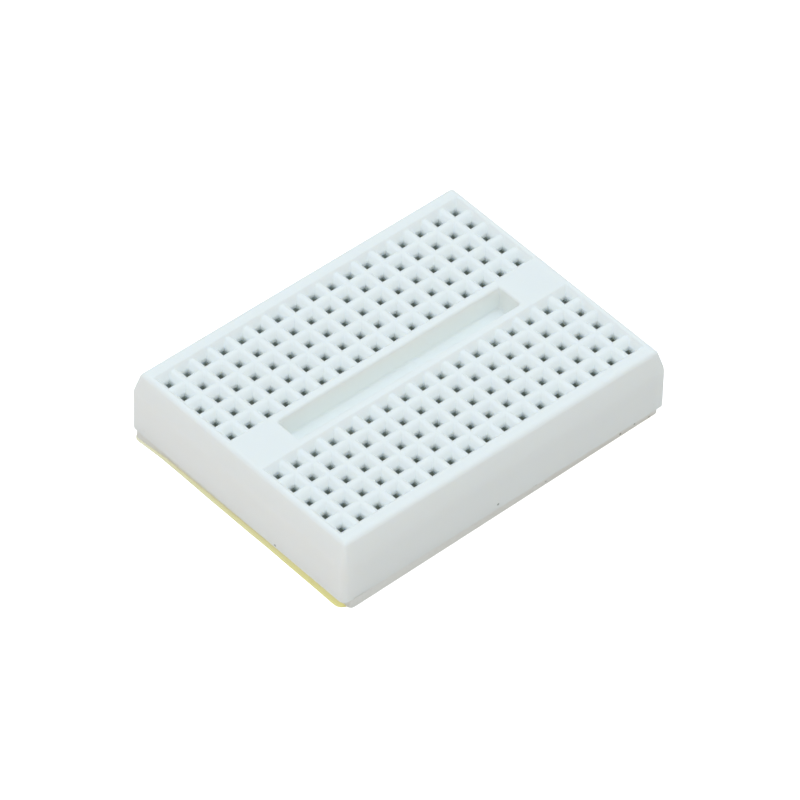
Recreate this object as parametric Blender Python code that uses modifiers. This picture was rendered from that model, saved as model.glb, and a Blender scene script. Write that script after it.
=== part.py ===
"""A 170-point solderless breadboard: moulded housing, spring contact clips, foam pad and release liner.

Metres, +Z up. +X runs along the seventeen columns of holes and +Y across them. The origin is under the
middle of the board, on the surface that it lies on. The column of holes at the -X end is number 01. The
bank on the -Y side is "a" and the other is "b".
"""

import math

import bmesh
import bpy
from mathutils import Matrix, Vector

MM = 0.001

# Holes
PITCH = 2.54 * MM
COLUMNS = 17
ROWS_PER_BANK = 5
INNER_ROW_Y = 3.81 * MM
BANK_Y = INNER_ROW_Y + (ROWS_PER_BANK - 1) / 2 * PITCH
SHAFT_WIDTH = 0.90 * MM
FUNNEL_WIDTH = 2.00 * MM
FUNNEL_DEPTH = 0.60 * MM
FIELD_RECESS = 0.20 * MM
FIELD_MARGIN = 1.05 * MM
FUNNEL_RISE = 0.03 * MM

# Stack, from the ground up
LINER_THICKNESS = 0.10 * MM
FOAM_THICKNESS = 1.30 * MM
BOND_GAP = 0.03 * MM
HOUSING_HEIGHT = 8.10 * MM
FOAM_BOTTOM = LINER_THICKNESS + BOND_GAP
HOUSING_BOTTOM = FOAM_BOTTOM + FOAM_THICKNESS + BOND_GAP
DECK_Z = HOUSING_BOTTOM + HOUSING_HEIGHT

# Housing
HOUSING_LENGTH = 45.80 * MM
HOUSING_WIDTH = 34.70 * MM
CORNER_RADIUS = 0.75 * MM
CORNER_STEPS = 3
DRAFT_HEIGHT = 2.75 * MM
DRAFT_INSET = 0.78 * MM
TOP_ROUND = 0.50 * MM
TOP_ROUND_STEPS = 3
BOTTOM_BREAK = 0.12 * MM
CHANNEL_LENGTH = 31.40 * MM
CHANNEL_WIDTH = 3.36 * MM
CHANNEL_DEPTH = 3.10 * MM
CHANNEL_CORNER = 0.15 * MM
SLOT_WIDTH = 1.90 * MM
SLOT_LENGTH = 12.56 * MM
SLOT_DEPTH = 6.80 * MM
CUT_BEYOND = 0.50 * MM

# Contact clip, as half of its bent section: distance from the middle plane, and height above its underside
SHEET = 0.20 * MM
FINGER_WIDTH = 2.10 * MM
CLIP_BASE_HALF = 0.58 * MM
CLIP_WALL_X = 0.75 * MM
CLIP_BEND_Z = 0.32 * MM
CLIP_ROOT_Z = 1.70 * MM
CLIP_PINCH_X = 0.15 * MM
CLIP_PINCH_Z = 5.20 * MM
CLIP_TIP_X = 0.50 * MM
CLIP_TIP_Z = 6.50 * MM
CLIP_REST_GAP = 0.03 * MM

# Foam pad and release liner, both laid by hand and so a little off the square
FOAM_SIZE = (44.50 * MM, 33.90 * MM)
FOAM_CENTRE = (0.14 * MM, -0.08 * MM)
FOAM_TURN = math.radians(0.75)
FOAM_CORNER = 0.60 * MM
LINER_SIZE = (44.78 * MM, 33.55 * MM)
LINER_CENTRE = (-0.23 * MM, 0.10 * MM)
LINER_CORNER = 0.50 * MM

# Linear base colour, roughness, metallic
MATERIALS = {
    "white_abs": ((0.80, 0.83, 0.84), 0.42, 0.0),
    "nickel_plated_bronze": ((0.66, 0.62, 0.54), 0.30, 1.0),
    "grey_white_foam": ((0.60, 0.61, 0.57), 0.95, 0.0),
    "yellow_liner_paper": ((0.84, 0.70, 0.12), 0.45, 0.0),
}


def clear_scene():
    for obj in list(bpy.data.objects):
        bpy.data.objects.remove(obj, do_unlink=True)


def new_collection(name):
    collection = bpy.data.collections.new(name)
    bpy.context.scene.collection.children.link(collection)
    return collection


def new_material(name):
    colour, roughness, metallic = MATERIALS[name]
    material = bpy.data.materials.new(name)
    material.use_nodes = True
    shader = material.node_tree.nodes["Principled BSDF"]
    shader.inputs["Base Color"].default_value = (*colour, 1.0)
    shader.inputs["Roughness"].default_value = roughness
    shader.inputs["Metallic"].default_value = metallic
    material.diffuse_color = (*colour, 1.0)
    return material


def new_object(name, mesh, collection, location=(0.0, 0.0, 0.0), parent=None):
    obj = bpy.data.objects.new(name, mesh)
    obj.location = location
    obj.parent = parent
    collection.objects.link(obj)
    return obj


def new_cutter(name, mesh, location=(0.0, 0.0, 0.0)):
    cutter = new_object(name, mesh, cutters, location)
    cutter.hide_render = True
    cutter.display_type = "WIRE"
    return cutter


def mesh_from(name, bm):
    bmesh.ops.recalc_face_normals(bm, faces=bm.faces)
    mesh = bpy.data.meshes.new(name)
    bm.to_mesh(mesh)
    bm.free()
    return mesh


def rectangle(bm, length, width, radius=0.0, steps=1):
    """One flat face in the plane z = 0, with its four corners rounded if a radius is given."""
    verts = bmesh.ops.create_grid(bm, x_segments=1, y_segments=1, size=0.5)["verts"]
    bmesh.ops.scale(bm, vec=(length, width, 1.0), verts=verts)
    if radius > 0.0:
        bmesh.ops.bevel(
            bm,
            geom=verts,
            offset=radius,
            offset_type="OFFSET",
            segments=steps,
            profile=0.5,
            affect="VERTICES",
        )
    return bm.faces[:]


def raise_faces(bm, faces, height, inset=0.0):
    """Extrudes the faces upward and draws the new outline in by the inset. Returns the new top faces.

    Only the faces of the first step stay behind, as the bottom of the solid.
    """
    is_first = len(bm.faces) == len(faces)
    made = bmesh.ops.extrude_face_region(bm, geom=faces)["geom"]
    if not is_first:
        bmesh.ops.delete(bm, geom=[face for face in faces if face.is_valid], context="FACES_ONLY")
    verts = [item for item in made if isinstance(item, bmesh.types.BMVert)]
    half_x = max(abs(vert.co.x) for vert in verts)
    half_y = max(abs(vert.co.y) for vert in verts)
    bmesh.ops.translate(bm, vec=(0.0, 0.0, height), verts=verts)
    bmesh.ops.scale(bm, vec=(1.0 - inset / half_x, 1.0 - inset / half_y, 1.0), verts=verts)
    return [item for item in made if isinstance(item, bmesh.types.BMFace)]


def plate_mesh(name, size, thickness, radius, steps=3):
    bm = bmesh.new()
    faces = rectangle(bm, size[0], size[1], radius, steps)
    raise_faces(bm, faces, thickness)
    return mesh_from(name, bm)


def box_mesh(name, size):
    bm = bmesh.new()
    bmesh.ops.create_cube(bm, size=1.0, matrix=Matrix.Diagonal((*size, 1.0)))
    return mesh_from(name, bm)


def block_mesh(name):
    """The outside of the housing: straight walls, drafted upper walls and a rounded top edge."""
    bm = bmesh.new()
    faces = rectangle(bm, HOUSING_LENGTH, HOUSING_WIDTH, CORNER_RADIUS, CORNER_STEPS)
    bottom_edges = {edge for face in faces for edge in face.edges}
    straight_top = raise_faces(bm, faces, HOUSING_HEIGHT - DRAFT_HEIGHT)
    deck = raise_faces(bm, straight_top, DRAFT_HEIGHT, DRAFT_INSET)
    top_edges = {edge for face in deck for edge in face.edges}
    bmesh.ops.bevel(
        bm,
        geom=list(top_edges),
        offset=TOP_ROUND,
        offset_type="OFFSET",
        segments=TOP_ROUND_STEPS,
        profile=0.5,
        affect="EDGES",
    )
    bmesh.ops.bevel(
        bm,
        geom=[edge for edge in bottom_edges if edge.is_valid],
        offset=BOTTOM_BREAK,
        offset_type="OFFSET",
        segments=1,
        affect="EDGES",
    )
    return mesh_from(name, bm)


def hole_mesh(name):
    """One hole as a solid: a square shaft under a funnel that runs on a little above the field's floor."""
    bm = bmesh.new()
    shaft_height = HOUSING_HEIGHT - FIELD_RECESS - FUNNEL_DEPTH - SLOT_DEPTH + CUT_BEYOND
    slope = (FUNNEL_WIDTH - SHAFT_WIDTH) / 2 / FUNNEL_DEPTH
    funnel_height = FUNNEL_DEPTH + FUNNEL_RISE
    faces = rectangle(bm, SHAFT_WIDTH, SHAFT_WIDTH)
    faces = raise_faces(bm, faces, shaft_height)
    raise_faces(bm, faces, funnel_height, -slope * funnel_height)
    return mesh_from(name, bm)


def repeat(obj, count, step, name):
    array = obj.modifiers.new(name, "ARRAY")
    array.count = count
    array.use_relative_offset = False
    array.use_constant_offset = True
    array.constant_offset_displace = step
    array.use_merge_vertices = False


def cut(obj, cutter):
    boolean = obj.modifiers.new(cutter.name, "BOOLEAN")
    boolean.operation = "DIFFERENCE"
    boolean.solver = "EXACT"
    boolean.object = cutter


def column_x(column):
    return (column - (COLUMNS - 1) / 2) * PITCH


def build_housing():
    housing = new_object("housing", block_mesh("housing"), board, (0.0, 0.0, HOUSING_BOTTOM))
    housing.data.materials.append(materials["white_abs"])

    channel_mesh = plate_mesh(
        "cut_channel",
        (CHANNEL_LENGTH, CHANNEL_WIDTH),
        CHANNEL_DEPTH + CUT_BEYOND,
        CHANNEL_CORNER,
        steps=1,
    )
    cut(housing, new_cutter("cut_channel", channel_mesh, (0.0, 0.0, DECK_Z - CHANNEL_DEPTH)))

    field_size = (
        (COLUMNS - 1) * PITCH + 2 * FIELD_MARGIN,
        (ROWS_PER_BANK - 1) * PITCH + 2 * FIELD_MARGIN,
        2 * FIELD_RECESS,
    )
    slot_size = (SLOT_WIDTH, SLOT_LENGTH, 2 * SLOT_DEPTH)
    shaft_bottom = HOUSING_BOTTOM + SLOT_DEPTH - CUT_BEYOND
    for bank, side in (("a", -1.0), ("b", 1.0)):
        field_location = (0.0, side * BANK_Y, DECK_Z)
        field = new_cutter("cut_field_" + bank, box_mesh("cut_field_" + bank, field_size), field_location)
        cut(housing, field)

        slot_location = (column_x(0), side * BANK_Y, HOUSING_BOTTOM)
        slots = new_cutter("cut_slots_" + bank, box_mesh("cut_slots_" + bank, slot_size), slot_location)
        repeat(slots, COLUMNS, (PITCH, 0.0, 0.0), "columns")
        cut(housing, slots)

        first_row = side * BANK_Y - (ROWS_PER_BANK - 1) / 2 * PITCH
        hole_location = (column_x(0), first_row, shaft_bottom)
        holes = new_cutter("cut_holes_" + bank, hole_mesh("cut_holes_" + bank), hole_location)
        repeat(holes, COLUMNS, (PITCH, 0.0, 0.0), "columns")
        repeat(holes, ROWS_PER_BANK, (0.0, PITCH, 0.0), "rows")
        cut(housing, holes)


def clip_mesh():
    """The clip's middle surface: a trough along Y, with both walls slit into fingers."""
    half_length = (ROWS_PER_BANK - 1) / 2 * PITCH + FINGER_WIDTH / 2
    finger_ends = []
    for row in range(ROWS_PER_BANK):
        middle = (row - (ROWS_PER_BANK - 1) / 2) * PITCH
        finger_ends.append((middle - FINGER_WIDTH / 2, middle + FINGER_WIDTH / 2))
    bm = bmesh.new()
    base_z = SHEET / 2

    def vert(x, y, z):
        return bm.verts.new(Vector((x, y, z)))

    base = {}
    for side in (-1.0, 1.0):
        base[side] = [vert(side * CLIP_BASE_HALF, y, base_z) for y in (-half_length, half_length)]
    bm.faces.new((*base[-1.0], *reversed(base[1.0])))
    for side in (-1.0, 1.0):
        wall = [vert(side * CLIP_WALL_X, y, CLIP_BEND_Z) for y in (-half_length, half_length)]
        bm.faces.new((*base[side], *reversed(wall)))
        roots = [[vert(side * CLIP_WALL_X, y, CLIP_ROOT_Z) for y in ends] for ends in finger_ends]
        bm.faces.new((*wall, *reversed([root for pair in roots for root in pair])))
        for pair, ends in zip(roots, finger_ends):
            pinch = [vert(side * CLIP_PINCH_X, y, CLIP_PINCH_Z) for y in ends]
            tip = [vert(side * CLIP_TIP_X, y, CLIP_TIP_Z) for y in ends]
            bm.faces.new((*pair, *reversed(pinch)))
            bm.faces.new((*pinch, *reversed(tip)))
    return mesh_from("contact_clip", bm)


def build_clips():
    mesh = clip_mesh()
    mesh.materials.append(materials["nickel_plated_bronze"])
    clip_z = HOUSING_BOTTOM + CLIP_REST_GAP
    for bank, side in (("a", -1.0), ("b", 1.0)):
        for column in range(COLUMNS):
            name = "contact_clip_%s%02d" % (bank, column + 1)
            clip = new_object(name, mesh, board, (column_x(column), side * BANK_Y, clip_z))
            sheet = clip.modifiers.new("sheet", "SOLIDIFY")
            sheet.thickness = SHEET
            sheet.offset = 0.0
            sheet.use_even_offset = True


def build_pad_and_liner():
    pad_mesh = plate_mesh("foam_pad", FOAM_SIZE, FOAM_THICKNESS, FOAM_CORNER)
    pad = new_object("foam_pad", pad_mesh, board, (*FOAM_CENTRE, FOAM_BOTTOM))
    pad.rotation_euler = (0.0, 0.0, FOAM_TURN)
    pad.data.materials.append(materials["grey_white_foam"])

    peel = new_object("release_liner_peel", None, board)
    liner_mesh = plate_mesh("release_liner", LINER_SIZE, LINER_THICKNESS, LINER_CORNER)
    liner = new_object("release_liner", liner_mesh, board, (*LINER_CENTRE, 0.0), peel)
    liner.data.materials.append(materials["yellow_liner_paper"])


clear_scene()
board = new_collection("solderless_breadboard")
cutters = new_collection("cutters")
cutters.hide_render = True
materials = {name: new_material(name) for name in MATERIALS}
build_housing()
build_clips()
build_pad_and_liner()
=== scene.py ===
"""The looks of a 170-point solderless breadboard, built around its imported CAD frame.

Row frame in metres: +X along the seventeen columns of holes, +Y across them, +Z up, floor at z = 0.
Shapes are worked out in millimetres and scaled once, when each mesh is made.
"""

import math

import bmesh
import bpy
from mathutils import Matrix, Vector, noise
from mathutils.geometry import delaunay_2d_cdt


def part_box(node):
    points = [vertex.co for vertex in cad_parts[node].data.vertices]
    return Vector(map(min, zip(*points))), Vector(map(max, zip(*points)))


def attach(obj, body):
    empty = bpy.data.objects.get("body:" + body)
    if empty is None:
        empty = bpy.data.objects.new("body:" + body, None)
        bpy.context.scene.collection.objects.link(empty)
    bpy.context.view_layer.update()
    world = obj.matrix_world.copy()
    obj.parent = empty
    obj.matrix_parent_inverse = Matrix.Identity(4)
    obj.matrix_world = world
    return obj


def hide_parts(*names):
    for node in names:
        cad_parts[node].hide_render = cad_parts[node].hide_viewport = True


MM = 0.001

# The triangulation's output type that keeps to the area inside the outer ring
INSIDE_ONLY = 1

# Hole grid: funnels in a sunk field, whose outer walls carry the funnels' slope up to the deck
PITCH = 2.54
COLUMNS = 17
ROWS = 5
BANK_Y = 8.89
SHAFT_HALF = 0.45
FUNNEL_HALF = 1.00
FUNNEL_DEPTH = 0.60
FIELD_RECESS = 0.20
SHAFT_BREAK = 0.05
RIDGE_SOFTNESS = 0.22
RIM_SOFTNESS = 0.06

# Mesh lines over one side of a hole, as distances from its middle
CELL_STEPS = (0.45, 0.49, 0.75, 0.84, 0.92, 1.00, 1.08, 1.17, 1.27)
RIM_STEPS = (0.45, 0.49, 0.80, 0.97, 1.08, 1.13, 1.18, 1.23, 1.28)

# Housing
CORNER_RADIUS = 0.75
LEAST_RADIUS = 0.32
DRAFT_HEIGHT = 2.75
DRAFT_INSET = 0.78
SHELL_RADII = (0.12, 2.50, 0.60)
CHANNEL_HALF = (15.70, 1.68)
CHANNEL_DEPTH = 3.10
CHANNEL_ROUND = 0.30
CHANNEL_FOOT_ROUND = 0.22
SLOT_HALF = (0.95, 6.28)
SLOT_DEPTH = 6.80
SMOOTH_ANGLE = math.radians(38)
# The slots and the channel take copies of the ABS with a glow, which is painted light
SLOT_PAINTED_GLOW_MATERIAL = 1
CHANNEL_PAINTED_GLOW_MATERIAL = 2

# Contact clip
SHEET = 0.20
FINGER_WIDTH = 2.10
FINGER_ROOT = 1.70

# Foam pad and liner
FOAM_HALF = (22.25, 16.95)
FOAM_CENTRE = (0.14, -0.08)
FOAM_TURN = math.radians(0.75)
FOAM_STEP = 0.20
FOAM_LEVELS = 9
LINER_STEP = 0.50
LINER_CORNER = 1.0
LINER_LIFT = 0.10
LINER_SWELL = 0.04
LINER_SWELL_LENGTH = 20.0
LINER_SWELL_CREST = 3.2
PULLED_CORNER = (-22.50, 16.80)
PULL_REACH = 5.0
LINER_PULL = (-0.26, 0.34)
FOAM_PULL = (-0.38, 0.50)

# Floor
FLOOR_HALF = 2000.0

# Camera: where it stands, seen from the middle of the hole grid
CAMERA_AZIMUTH = math.radians(-42.117)
CAMERA_ELEVATION = math.radians(45.150)
CAMERA_ROLL = math.radians(1.2366)
CAMERA_DISTANCE = 0.8448
CAMERA_SHIFT = (0.0000345, -0.003464)
CAMERA_AIM_Z = 0.00871
CAMERA_LENS = 356.7
CAMERA_SENSOR = 36.0

# Painted light: the glow of these materials stands for light that comes through them
SLOT_PAINTED_GLOW = (0.083, 0.125, 0.160)
CHANNEL_PAINTED_GLOW = (0.024, 0.026, 0.021)
LINER_PAINTED_GLOW = 0.14

# Where the looks change along the object, in metres
FOOT_DIRT_Z = (0.0027, 0.0022)
LINER_FADE_Y = (-0.0165, 0.0185)

# Studio light
TENT_LOW = (0.337, 0.170, 0.101)
TENT_HIGH = (0.820, 1.0, 0.972)
TENT_STRENGTH = 1.0845
OVERHEAD_POWER = 2.412
OVERHEAD_COLOUR = (0.552, 0.645, 1.0)
CARD_POWER = 0.00978
CARD_COLOUR = (1.0, 0.811, 0.687)

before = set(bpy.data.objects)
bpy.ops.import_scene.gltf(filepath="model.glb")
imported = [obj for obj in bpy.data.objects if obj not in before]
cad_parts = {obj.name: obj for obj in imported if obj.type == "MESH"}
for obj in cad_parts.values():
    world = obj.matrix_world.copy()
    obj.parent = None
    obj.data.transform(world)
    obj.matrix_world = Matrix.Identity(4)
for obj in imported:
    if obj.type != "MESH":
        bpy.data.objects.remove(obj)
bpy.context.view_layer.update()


# Meshes -----------------------------------------------------------------------------------------


def fillet(points, radii, segments):
    """The polyline with its inner corners rounded. A radius of 0 leaves a corner as it is."""
    rounded = [points[0]]
    for before, corner, after, radius in zip(points, points[1:], points[2:], radii):
        corner = Vector(corner)
        inward = (Vector(before) - corner).normalized()
        outward = (Vector(after) - corner).normalized()
        turn = math.pi - inward.angle(outward)
        if radius <= 0.0 or turn < 1e-4:
            rounded.append(tuple(corner))
            continue
        start = corner + inward * radius * math.tan(turn / 2)
        centre = corner + (inward + outward).normalized() * radius / math.cos(turn / 2)
        arm = start - centre
        sign = 1.0 if inward.x * outward.y - inward.y * outward.x < 0 else -1.0
        for step in range(segments + 1):
            angle = sign * turn * step / segments
            rounded.append(tuple(centre + Matrix.Rotation(angle, 2) @ arm))
    rounded.append(points[-1])
    return rounded


def outline(half_x, half_y, radius, steps, centre=(0.0, 0.0)):
    """A rounded rectangle, anticlockwise from its +X side."""
    points = []
    for corner, (side_x, side_y) in enumerate(((1, 1), (-1, 1), (-1, -1), (1, -1))):
        for step in range(steps + 1):
            angle = math.pi / 2 * (corner + step / steps)
            points.append(
                (
                    centre[0] + side_x * (half_x - radius) + radius * math.cos(angle),
                    centre[1] + side_y * (half_y - radius) + radius * math.sin(angle),
                )
            )
    return points


def add_ring(bm, points, z):
    return [bm.verts.new((x, y, z)) for x, y in points]


def bridge(bm, lower, upper):
    count = len(lower)
    for i in range(count):
        j = (i + 1) % count
        bm.faces.new((lower[i], lower[j], upper[j], upper[i]))


def loft(bm, half, radius, least_radius, steps, profile, centre=(0.0, 0.0)):
    """Joins rings of a rounded rectangle along a profile of (grow, z). Returns the end rings."""
    rings = []
    for grow, z in profile:
        ring_radius = max(least_radius, radius + grow)
        points = outline(half[0] + grow, half[1] + grow, ring_radius, steps, centre)
        rings.append(add_ring(bm, points, z))
    for lower, upper in zip(rings, rings[1:]):
        bridge(bm, lower, upper)
    return rings[0], rings[-1]


def fill_between(bm, rings):
    """Fills the flat area inside the first ring and outside the others, which are all convex."""
    verts = []
    owners = []
    edges = []
    for number, ring in enumerate(rings):
        first = len(verts)
        edges += [(first + i, first + (i + 1) % len(ring)) for i in range(len(ring))]
        verts += ring
        owners += [number] * len(ring)
    places = [vert.co.xy for vert in verts]
    _, _, triangles, sources, _, _ = delaunay_2d_cdt(places, edges, [], INSIDE_ONLY, 1e-6)
    for triangle in triangles:
        corners = [sources[corner][0] for corner in triangle]
        touched = {owners[corner] for corner in corners}
        is_in_hole = len(touched) == 1 and 0 not in touched
        if not is_in_hole:
            bm.faces.new([verts[corner] for corner in corners])


def finish_mesh(bm, name):
    """Scales to metres and gives smooth faces, with sharp edges where the surface turns."""
    bmesh.ops.recalc_face_normals(bm, faces=bm.faces)
    bmesh.ops.scale(bm, vec=(MM, MM, MM), verts=bm.verts)
    for face in bm.faces:
        face.smooth = True
    for edge in bm.edges:
        edge.smooth = edge.calc_face_angle(0.0) < SMOOTH_ANGLE
    mesh = bpy.data.meshes.new(name)
    bm.to_mesh(mesh)
    bm.free()
    return mesh


def add_piece(name, mesh, body, nodes, place=(0.0, 0.0, 0.0)):
    piece = bpy.data.objects.new(name, mesh)
    piece.location = place
    bpy.context.scene.collection.objects.link(piece)
    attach(piece, body)
    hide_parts(*nodes)
    return piece


def grid_rim(grid):
    """The vertices around the edge of a grid, in order."""
    rim = [line[0] for line in grid] + grid[-1][1:]
    return rim + [line[-1] for line in reversed(grid[:-1])] + list(reversed(grid[0][1:-1]))


def column_x(column):
    return (column - (COLUMNS - 1) / 2) * PITCH


def slope_height(distance, bottom, top, softness):
    """Height of a funnel's wall at a distance from the hole's middle. It levels off softly."""
    if distance <= SHAFT_HALF:
        return bottom - SHAFT_BREAK
    rise = bottom + (distance - SHAFT_HALF) * FUNNEL_DEPTH / (FUNNEL_HALF - SHAFT_HALF)
    if rise <= top - softness:
        return rise
    if rise >= top + softness:
        return top
    return top - (top + softness - rise) ** 2 / (4 * softness)


def grid_lines(count, bottom, ridge, deck):
    """Lines across a row of holes, as (place, side of the nearest hole's middle, height there)."""
    lines = []
    for hole in range(count):
        middle = (hole - (count - 1) / 2) * PITCH
        for side in (-1, 1):
            is_rim = hole == (0 if side < 0 else count - 1)
            steps = RIM_STEPS if is_rim else CELL_STEPS
            top, softness = (deck, RIM_SOFTNESS) if is_rim else (ridge, RIDGE_SOFTNESS)
            part = []
            for step in steps:
                part.append((middle + side * step, side, slope_height(step, bottom, top, softness)))
            lines += part if side > 0 else reversed(part)
        if hole < count - 1:
            lines.pop()
    return lines


def hole_field(bm, middle, bottom, ridge, deck):
    """The sunk field of one bank. Returns its outer ring and each column's shaft mouths."""
    across = grid_lines(COLUMNS, bottom, ridge, deck)
    along = grid_lines(ROWS, bottom, ridge, deck)
    grid = []
    for x, _, height_x in across:
        line = []
        for y, _, height_y in along:
            line.append(bm.verts.new((x, middle + y, max(height_x, height_y))))
        grid.append(line)
    shafts = []
    for i in range(len(across) - 1):
        for j in range(len(along) - 1):
            a, b, c, d = grid[i][j], grid[i + 1][j], grid[i + 1][j + 1], grid[i][j + 1]
            in_column = across[i][1] < 0 < across[i + 1][1]
            in_row = along[j][1] < 0 < along[j + 1][1]
            if in_column and in_row:
                shafts.append([a, b, c, d])
            elif across[i + 1][1] * along[j + 1][1] > 0:
                bm.faces.new((a, b, c))
                bm.faces.new((a, c, d))
            else:
                bm.faces.new((a, b, d))
                bm.faces.new((b, c, d))
    by_column = [shafts[first : first + ROWS] for first in range(0, len(shafts), ROWS)]
    return grid_rim(grid), by_column


def housing_mesh(bottom, deck, half):
    bm = bmesh.new()
    ridge = deck - FIELD_RECESS
    funnel_bottom = ridge - FUNNEL_DEPTH
    ceiling = bottom + SLOT_DEPTH

    wall_top = deck - DRAFT_HEIGHT
    shell = fillet(
        [(-0.50, bottom), (0.0, bottom), (0.0, wall_top), (-DRAFT_INSET, deck), (-1.25, deck)],
        SHELL_RADII,
        6,
    )
    underside, deck_edge = loft(bm, half, CORNER_RADIUS, LEAST_RADIUS, 6, shell)

    channel = fillet(
        [(-0.60, deck - CHANNEL_DEPTH), (0.0, deck - CHANNEL_DEPTH), (0.0, deck), (0.50, deck)],
        (CHANNEL_FOOT_ROUND, CHANNEL_ROUND),
        5,
    )
    channel_floor, channel_edge = loft(bm, CHANNEL_HALF, 0.20, 0.10, 5, channel)
    bm.faces.new(channel_floor)

    field_rims = []
    slot_edges = []
    for middle in (-BANK_Y, BANK_Y):
        rim, shafts = hole_field(bm, middle, funnel_bottom, ridge, deck)
        field_rims.append(rim)
        for column in range(COLUMNS):
            slot = [(0.0, bottom), (0.0, ceiling)]
            place = (column_x(column), middle)
            slot_edge, slot_top = loft(bm, SLOT_HALF, 0.10, 0.10, 2, slot, place)
            slot_edges.append(slot_edge)
            shaft_ends = []
            for mouth in shafts[column]:
                end = [bm.verts.new((vert.co.x, vert.co.y, ceiling)) for vert in mouth]
                bridge(bm, end, mouth)
                shaft_ends.append(end)
            fill_between(bm, [slot_top, *shaft_ends])
    fill_between(bm, [deck_edge, channel_edge, *field_rims])
    fill_between(bm, [underside, *slot_edges])
    for face in bm.faces:
        centre = face.calc_center_median()
        x, y, z = abs(centre.x), abs(centre.y), centre.z
        is_in_bank = x < half[0] - 1.0 and abs(y - BANK_Y) < SLOT_HALF[1] + 0.1
        is_in_channel = x < CHANNEL_HALF[0] + 0.01 and y < CHANNEL_HALF[1] + 0.01
        # Painted light: faces in the slots and the channel take the glowing copies of the ABS
        if is_in_bank and bottom + 0.01 < z < ceiling + 0.01:
            face.material_index = SLOT_PAINTED_GLOW_MATERIAL
        elif is_in_channel and bottom + 0.01 < z < deck - CHANNEL_ROUND:
            face.material_index = CHANNEL_PAINTED_GLOW_MATERIAL
    return finish_mesh(bm, "housing_shell")


def clip_mesh():
    """A bent sheet with five pairs of fingers. Its underside is at z = 0, in the middle."""
    half_section = fillet(
        [(0.0, 0.0), (0.85, 0.0), (0.85, 2.0), (0.25, 5.20), (0.60, 6.55)],
        (0.32, 1.6, 0.45),
        5,
    )
    lengths = []
    for row in range(ROWS):
        middle = (row - (ROWS - 1) / 2) * PITCH
        lengths += [middle - FINGER_WIDTH / 2, middle, middle + FINGER_WIDTH / 2]
    bm = bmesh.new()
    section = [(-x, z) for x, z in reversed(half_section[1:])] + half_section
    grid = [[bm.verts.new((x, y, z)) for y in lengths] for x, z in section]
    for low, high, lower, upper in zip(grid, grid[1:], section, section[1:]):
        for i in range(len(lengths) - 1):
            is_slit = i % 3 == 2
            if is_slit and max(lower[1], upper[1]) > FINGER_ROOT:
                continue
            bm.faces.new((low[i], high[i], high[i + 1], low[i + 1]))
    bmesh.ops.recalc_face_normals(bm, faces=bm.faces)
    bm.normal_update()
    bmesh.ops.solidify(bm, geom=bm.faces[:], thickness=-SHEET)
    return finish_mesh(bm, "contact_clip_sheet")


def pad_outward(x, y):
    """The direction out of the pad at its edge, which turns only near the corners."""
    weight_x = math.copysign((abs(x) / FOAM_HALF[0]) ** 8, x)
    weight_y = math.copysign((abs(y) / FOAM_HALF[1]) ** 8, y)
    return Vector((weight_x, weight_y, 0.0)).normalized()


def unevenness(place, scale):
    return 0.5 + 0.5 * noise.noise(place * scale)


def pulled(x, y, pull):
    """Pad and liner were pulled outwards at one corner as they were laid."""
    distance = math.hypot(x - PULLED_CORNER[0], y - PULLED_CORNER[1])
    share = max(0.0, 1.0 - distance / PULL_REACH)
    share *= share * (3.0 - 2.0 * share)
    return x + pull[0] * share, y + pull[1] * share


def foam_mesh(bottom, top):
    """The pad: a die-cut block whose edge shows the cut cells of the foam."""
    bm = bmesh.new()
    corners = outline(FOAM_HALF[0], FOAM_HALF[1], 0.60, 6)
    edge_points = []
    for i, (x, y) in enumerate(corners):
        next_x, next_y = corners[(i + 1) % len(corners)]
        count = max(1, round(math.hypot(next_x - x, next_y - y) / FOAM_STEP))
        for k in range(count):
            edge_points.append((x + (next_x - x) * k / count, y + (next_y - y) * k / count))
    rings = []
    turn = Matrix.Rotation(FOAM_TURN, 3, "Z")
    for level in range(FOAM_LEVELS):
        share = level / (FOAM_LEVELS - 1)
        z = bottom + (top - bottom) * share
        ring = []
        for x, y in edge_points:
            place = Vector((x, y, z))
            pull = 0.02 * math.sin(math.pi * share)
            if 0 < level < FOAM_LEVELS - 1:
                pull += 0.03 * unevenness(place, 3.1) + 0.03 * unevenness(place, 1.3)
            else:
                pull += 0.01 * unevenness(place, 2.0)
            place -= pad_outward(x, y) * pull
            place = turn @ place
            laid = pulled(place.x + FOAM_CENTRE[0], place.y + FOAM_CENTRE[1], FOAM_PULL)
            ring.append(bm.verts.new((*laid, z)))
        rings.append(ring)
    for lower, upper in zip(rings, rings[1:]):
        bridge(bm, lower, upper)
    bm.faces.new(rings[-1])
    bm.faces.new(list(reversed(rings[0])))
    return finish_mesh(bm, "foam_pad_block")


def rounded_corner(x, y, half_x, half_y, radius):
    """Moves a point in a corner square of a sheet into the quarter disc that fits it."""
    u = (abs(x) - half_x + radius) / radius
    v = (abs(y) - half_y + radius) / radius
    if u <= 0.0 or v <= 0.0:
        return x, y
    new_u, new_v = u * math.sqrt(1.0 - v * v / 2), v * math.sqrt(1.0 - u * u / 2)
    return (
        math.copysign(half_x - radius + radius * new_u, x),
        math.copysign(half_y - radius + radius * new_v, y),
    )


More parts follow.
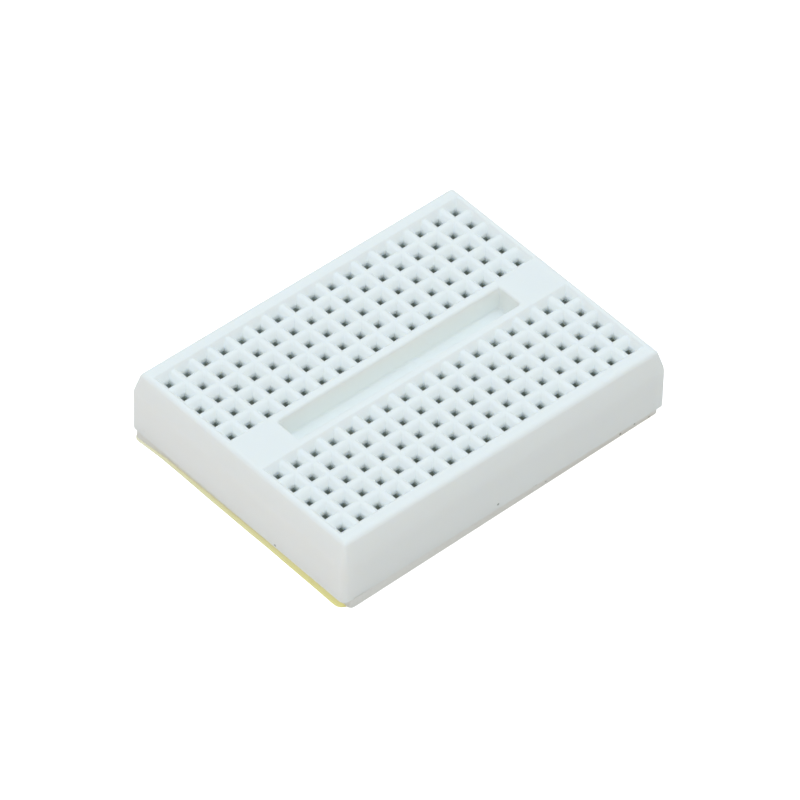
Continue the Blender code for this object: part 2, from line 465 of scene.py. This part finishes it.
def liner_mesh(low, high):
    """The liner sheet, whose free edge past the pad lifts and swells a little in long waves."""
    middle = (low + high) / 2
    half = (high - low) / 2
    bm = bmesh.new()
    columns = round((high.x - low.x) / LINER_STEP)
    rows = round((high.y - low.y) / LINER_STEP)
    sides = []
    for z in (low.z, high.z):
        grid = []
        for i in range(columns + 1):
            line = []
            for j in range(rows + 1):
                x = half.x * (2 * i / columns - 1)
                y = half.y * (2 * j / rows - 1)
                x, y = rounded_corner(x, y, half.x, half.y, LINER_CORNER)
                x += middle.x
                y += middle.y
                pad_edge = FOAM_CENTRE[0] - FOAM_HALF[0] - 0.04 - y * math.sin(FOAM_TURN)
                share = max(0.0, (pad_edge - x) / (pad_edge - low.x))
                wave = 0.5 + 0.35 * math.sin(y * 0.31 + 0.6) + 0.15 * math.sin(y * 0.93)
                turns = (y - LINER_SWELL_CREST) / LINER_SWELL_LENGTH
                swell = LINER_SWELL * (1.0 + math.cos(2.0 * math.pi * turns))
                laid = pulled(x - swell * share, y, LINER_PULL)
                line.append(bm.verts.new((*laid, z + LINER_LIFT * share * wave)))
            grid.append(line)
        sides.append(grid)
    for grid in sides:
        for a, b in zip(grid, grid[1:]):
            for j in range(rows):
                bm.faces.new((a[j], b[j], b[j + 1], a[j + 1]))
    below, above = sides
    bridge(bm, grid_rim(below), grid_rim(above))
    return finish_mesh(bm, "release_liner_sheet")


# Materials --------------------------------------------------------------------------------------


class Nodes:
    """A material's node tree, with short ways to add to it."""

    def __init__(self, name):
        self.material = bpy.data.materials.new(name)
        self.material.use_nodes = True
        self.tree = self.material.node_tree
        self.shader = self.tree.nodes["Principled BSDF"]
        self.position = self.add("ShaderNodeTexCoord").outputs["Object"]

    def add(self, kind, **settings):
        node = self.tree.nodes.new(kind)
        for key, value in settings.items():
            setattr(node, key, value)
        return node

    def link(self, source, target):
        self.tree.links.new(source, target)

    def noise(self, scale, detail=2.0, roughness=0.5):
        node = self.add("ShaderNodeTexNoise")
        node.inputs["Scale"].default_value = scale
        node.inputs["Detail"].default_value = detail
        node.inputs["Roughness"].default_value = roughness
        self.link(self.position, node.inputs["Vector"])
        return node.outputs["Fac"]

    def along(self, axis, start, end):
        """Goes from 0 to 1 as the place along an axis goes from start to end, in metres."""
        split = self.add("ShaderNodeSeparateXYZ")
        self.link(self.position, split.inputs["Vector"])
        node = self.add("ShaderNodeMapRange")
        node.inputs["From Min"].default_value = start
        node.inputs["From Max"].default_value = end
        self.link(split.outputs[axis], node.inputs["Value"])
        return node.outputs["Result"]

    def ramp(self, source, low, high, low_colour, high_colour):
        node = self.add("ShaderNodeValToRGB")
        first, last = node.color_ramp.elements
        first.position, last.position = low, high
        first.color, last.color = (*low_colour, 1.0), (*high_colour, 1.0)
        self.link(source, node.inputs["Fac"])
        return node.outputs["Color"]

    def mix(self, factor, a, b, blend="MIX"):
        node = self.add("ShaderNodeMix", data_type="RGBA", blend_type=blend)
        if isinstance(factor, float):
            node.inputs["Factor"].default_value = factor
        else:
            self.link(factor, node.inputs["Factor"])
        for value, socket in ((a, node.inputs[6]), (b, node.inputs[7])):
            if isinstance(value, tuple):
                socket.default_value = (*value, 1.0)
            else:
                self.link(value, socket)
        return node.outputs[2]

    def specks(self, scale):
        """Small round spots scattered through the material."""
        node = self.add("ShaderNodeTexVoronoi", feature="F1")
        node.inputs["Scale"].default_value = scale
        self.link(self.position, node.inputs["Vector"])
        return self.ramp(node.outputs["Distance"], 0.07, 0.12, (0.8, 0.8, 0.8), (0.0, 0.0, 0.0))

    def bump(self, layers):
        """Layers of (height source, strength, distance in metres), each on top of the last."""
        normal = None
        for height, strength, distance in layers:
            node = self.add("ShaderNodeBump")
            node.inputs["Strength"].default_value = strength
            node.inputs["Distance"].default_value = distance
            self.link(height, node.inputs["Height"])
            if normal is not None:
                self.link(normal, node.inputs["Normal"])
            normal = node.outputs["Normal"]
        self.link(normal, self.shader.inputs["Normal"])

    def roughness(self, source, low, high):
        node = self.add("ShaderNodeMapRange")
        node.inputs["To Min"].default_value = low
        node.inputs["To Max"].default_value = high
        self.link(source, node.inputs["Value"])
        self.link(node.outputs["Result"], self.shader.inputs["Roughness"])


def abs_material(name, glow):
    """White ABS. Its glow is painted light, standing for light that comes through the thin walls of
    a deep place.
    """
    nodes = Nodes(name)
    broad = nodes.noise(70.0, 3.0)
    mottle = nodes.noise(900.0, 4.0)
    grain = nodes.noise(9000.0, 3.0)
    body = nodes.ramp(broad, 0.3, 0.7, (0.915, 0.930, 0.920), (0.930, 0.942, 0.932))
    blotches = nodes.ramp(mottle, 0.35, 0.7, (0.0, 0.0, 0.0), (0.25, 0.25, 0.25))
    body = nodes.mix(blotches, body, (0.91, 0.92, 0.90))
    near_foot = nodes.along("Z", *FOOT_DIRT_Z)
    dirt = nodes.mix(near_foot, (0.0, 0.0, 0.0), nodes.specks(600.0))
    body = nodes.mix(dirt, body, (0.20, 0.19, 0.17))
    nodes.link(body, nodes.shader.inputs["Base Color"])
    nodes.roughness(mottle, 0.50, 0.62)
    nodes.bump([(broad, 0.25, 0.00004), (mottle, 0.18, 0.00001), (grain, 0.20, 0.000003)])
    nodes.shader.inputs["Subsurface Weight"].default_value = 0.6
    nodes.shader.inputs["Subsurface Radius"].default_value = (1.0, 0.95, 0.85)
    nodes.shader.inputs["Subsurface Scale"].default_value = 0.0009
    nodes.shader.inputs["IOR"].default_value = 1.52
    nodes.shader.inputs["Emission Color"].default_value = (*glow, 1.0)
    nodes.shader.inputs["Emission Strength"].default_value = 1.0
    return nodes.material


def nickel_material():
    nodes = Nodes("nickel_plate_look")
    stretch = nodes.add("ShaderNodeMapping")
    stretch.inputs["Scale"].default_value = (1.0, 0.06, 1.0)
    nodes.link(nodes.position, stretch.inputs["Vector"])
    nodes.position = stretch.outputs["Vector"]
    roll = nodes.noise(30000.0, 2.0)
    tarnish = nodes.noise(1200.0, 4.0)
    colour = nodes.ramp(tarnish, 0.35, 0.75, (0.62, 0.58, 0.49), (0.70, 0.68, 0.62))
    nodes.link(colour, nodes.shader.inputs["Base Color"])
    nodes.shader.inputs["Metallic"].default_value = 1.0
    nodes.roughness(roll, 0.22, 0.38)
    nodes.bump([(roll, 0.15, 0.000002)])
    return nodes.material


def foam_material():
    nodes = Nodes("foam_look")
    cells = nodes.add("ShaderNodeTexVoronoi", feature="F1")
    cells.inputs["Scale"].default_value = 6500.0
    nodes.link(nodes.position, cells.inputs["Vector"])
    coarse = nodes.noise(1500.0, 3.0)
    colour = nodes.ramp(cells.outputs["Distance"], 0.1, 0.8, (0.97, 0.96, 0.94), (0.89, 0.88, 0.86))
    blotches = nodes.ramp(coarse, 0.35, 0.7, (0.0, 0.0, 0.0), (0.5, 0.5, 0.5))
    colour = nodes.mix(blotches, colour, (0.94, 0.93, 0.91))
    colour = nodes.mix(nodes.specks(700.0), colour, (0.26, 0.25, 0.22))
    nodes.link(colour, nodes.shader.inputs["Base Color"])
    nodes.roughness(coarse, 0.85, 1.0)
    nodes.bump([(cells.outputs["Distance"], 0.6, 0.00004), (coarse, 0.4, 0.00005)])
    return nodes.material


def liner_material():
    """Yellow waxed paper. Its glow is painted light, standing for the white ground's light coming
    through it.
    """
    nodes = Nodes("liner_paper_look")
    fibres = nodes.noise(2200.0, 6.0, 0.65)
    patches = nodes.noise(180.0, 2.0)
    colour = nodes.ramp(patches, 0.3, 0.7, (0.96, 0.89, 0.37), (0.98, 0.92, 0.43))
    fibre_marks = nodes.ramp(fibres, 0.4, 0.75, (0.0, 0.0, 0.0), (0.35, 0.35, 0.35))
    colour = nodes.mix(fibre_marks, colour, (0.94, 0.86, 0.34))
    colour = nodes.mix(nodes.along("Y", *LINER_FADE_Y), colour, (0.91, 0.89, 0.76))
    nodes.link(colour, nodes.shader.inputs["Base Color"])
    nodes.roughness(fibres, 0.34, 0.5)
    nodes.bump([(fibres, 0.2, 0.00001), (patches, 0.2, 0.00005)])
    # Painted light: a yellow glow in place of the ground's light through the paper
    nodes.shader.inputs["Emission Color"].default_value = (1.0, 0.93, 0.42, 1.0)
    nodes.shader.inputs["Emission Strength"].default_value = LINER_PAINTED_GLOW
    nodes.shader.inputs["Coat Weight"].default_value = 0.25
    nodes.shader.inputs["Coat Roughness"].default_value = 0.3
    return nodes.material


def floor_material():
    nodes = Nodes("floor_look")
    tone = nodes.noise(6.0, 2.0)
    colour = nodes.ramp(tone, 0.3, 0.7, (0.81, 0.81, 0.81), (0.83, 0.83, 0.83))
    nodes.link(colour, nodes.shader.inputs["Base Color"])
    nodes.shader.inputs["Roughness"].default_value = 0.9
    nodes.shader.inputs["Emission Color"].default_value = (1.0, 1.0, 1.0, 1.0)
    nodes.shader.inputs["Emission Strength"].default_value = 1.0
    return nodes.material


# The object -------------------------------------------------------------------------------------


def build_housing():
    low, high = (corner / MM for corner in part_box("housing"))
    half = ((high.x - low.x) / 2, (high.y - low.y) / 2)
    mesh = housing_mesh(low.z, high.z, half)
    mesh.materials.append(abs_material("white_abs_look", (0.0, 0.0, 0.0)))
    # Glowing copies of the ABS: painted light for the slots and the channel
    mesh.materials.append(abs_material("white_abs_slot_painted_glow", SLOT_PAINTED_GLOW))
    mesh.materials.append(abs_material("white_abs_channel_painted_glow", CHANNEL_PAINTED_GLOW))
    piece = add_piece("housing_moulding", mesh, "board", ["housing"])
    weighted = piece.modifiers.new("weighted normals", "WEIGHTED_NORMAL")
    weighted.keep_sharp = True


def build_clips():
    mesh = clip_mesh()
    mesh.materials.append(nickel_material())
    for bank in "ab":
        for column in range(COLUMNS):
            node = "contact_clip_%s%02d" % (bank, column + 1)
            low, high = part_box(node)
            place = ((low.x + high.x) / 2, (low.y + high.y) / 2, low.z)
            add_piece(node + "_sheet", mesh, "board", [node], place)


def build_foam():
    low, high = (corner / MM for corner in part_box("foam_pad"))
    mesh = foam_mesh(low.z, high.z)
    mesh.materials.append(foam_material())
    piece = add_piece("foam_pad_cut", mesh, "board", ["foam_pad"])


def build_liner():
    low, high = (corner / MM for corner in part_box("release_liner"))
    mesh = liner_mesh(low, high)
    mesh.materials.append(liner_material())
    add_piece("release_liner_paper", mesh, "liner", ["release_liner"])


# The studio -------------------------------------------------------------------------------------


def build_floor():
    bm = bmesh.new()
    bmesh.ops.create_grid(bm, x_segments=8, y_segments=8, size=FLOOR_HALF)
    mesh = finish_mesh(bm, "floor")
    floor = bpy.data.objects.new("floor", mesh)
    mesh.materials.append(floor_material())
    bpy.context.scene.collection.objects.link(floor)
    lit_by_floor = bpy.data.collections.new("lit_by_floor")
    lit_by_floor.objects.link(floor)
    floor.light_linking.receiver_collection = lit_by_floor


def add_softbox(name, place, aim, size, power, colour):
    light = bpy.data.lights.new(name, "AREA")
    light.shape = "RECTANGLE"
    light.size, light.size_y = size
    light.energy = power
    light.color = colour
    box = bpy.data.objects.new(name, light)
    box.location = place
    box.rotation_euler = (Vector(aim) - Vector(place)).to_track_quat("-Z", "Y").to_euler()
    bpy.context.scene.collection.objects.link(box)


def build_lights():
    """A white tent, brightest overhead, with a softbox on top and a bright card on the ground."""
    world = bpy.data.worlds.new("tent")
    world.use_nodes = True
    tree = world.node_tree
    background = tree.nodes["Background"]
    background.inputs["Strength"].default_value = TENT_STRENGTH
    direction = tree.nodes.new("ShaderNodeTexCoord")
    height = tree.nodes.new("ShaderNodeSeparateXYZ")
    tint = tree.nodes.new("ShaderNodeMix")
    tint.data_type = "RGBA"
    tint.inputs[6].default_value = (*TENT_LOW, 1.0)
    tint.inputs[7].default_value = (*TENT_HIGH, 1.0)
    tree.links.new(direction.outputs["Generated"], height.inputs["Vector"])
    tree.links.new(height.outputs["Z"], tint.inputs["Factor"])
    tree.links.new(tint.outputs[2], background.inputs["Color"])
    bpy.context.scene.world = world
    overhead = (-0.05, 0.05, 0.90)
    add_softbox("overhead", overhead, (0.0, 0.0, 0.0), (0.9, 0.9), OVERHEAD_POWER, OVERHEAD_COLOUR)
    card = (-0.075, -0.01, 0.0005)
    above_card = (card[0], card[1], 1.0)
    add_softbox("left_card", card, above_card, (0.10, 0.14), CARD_POWER, CARD_COLOUR)


def build_camera():
    data = bpy.data.cameras.new("camera")
    data.lens = CAMERA_LENS
    data.sensor_width = CAMERA_SENSOR
    camera = bpy.data.objects.new("camera", data)
    across, up = math.cos(CAMERA_ELEVATION), math.sin(CAMERA_ELEVATION)
    back = Vector((math.sin(CAMERA_AZIMUTH) * across, -math.cos(CAMERA_AZIMUTH) * across, up))
    level_right = Vector((math.cos(CAMERA_AZIMUTH), math.sin(CAMERA_AZIMUTH), 0.0))
    level_up = back.cross(level_right)
    cosine, sine = math.cos(CAMERA_ROLL), math.sin(CAMERA_ROLL)
    right = level_right * cosine + level_up * sine
    top = level_up * cosine - level_right * sine
    aim = Vector((0.0, 0.0, CAMERA_AIM_Z))
    place = aim + back * CAMERA_DISTANCE + right * CAMERA_SHIFT[0] + top * CAMERA_SHIFT[1]
    turn = Matrix((right, top, back)).transposed().to_4x4()
    camera.matrix_world = Matrix.Translation(place) @ turn
    bpy.context.scene.collection.objects.link(camera)
    bpy.context.scene.camera = camera


build_camera()
build_housing()
build_clips()
build_foam()
build_liner()
build_floor()
build_lights()
bpy.context.scene.view_settings.view_transform = "Standard"
bpy.context.view_layer.update()
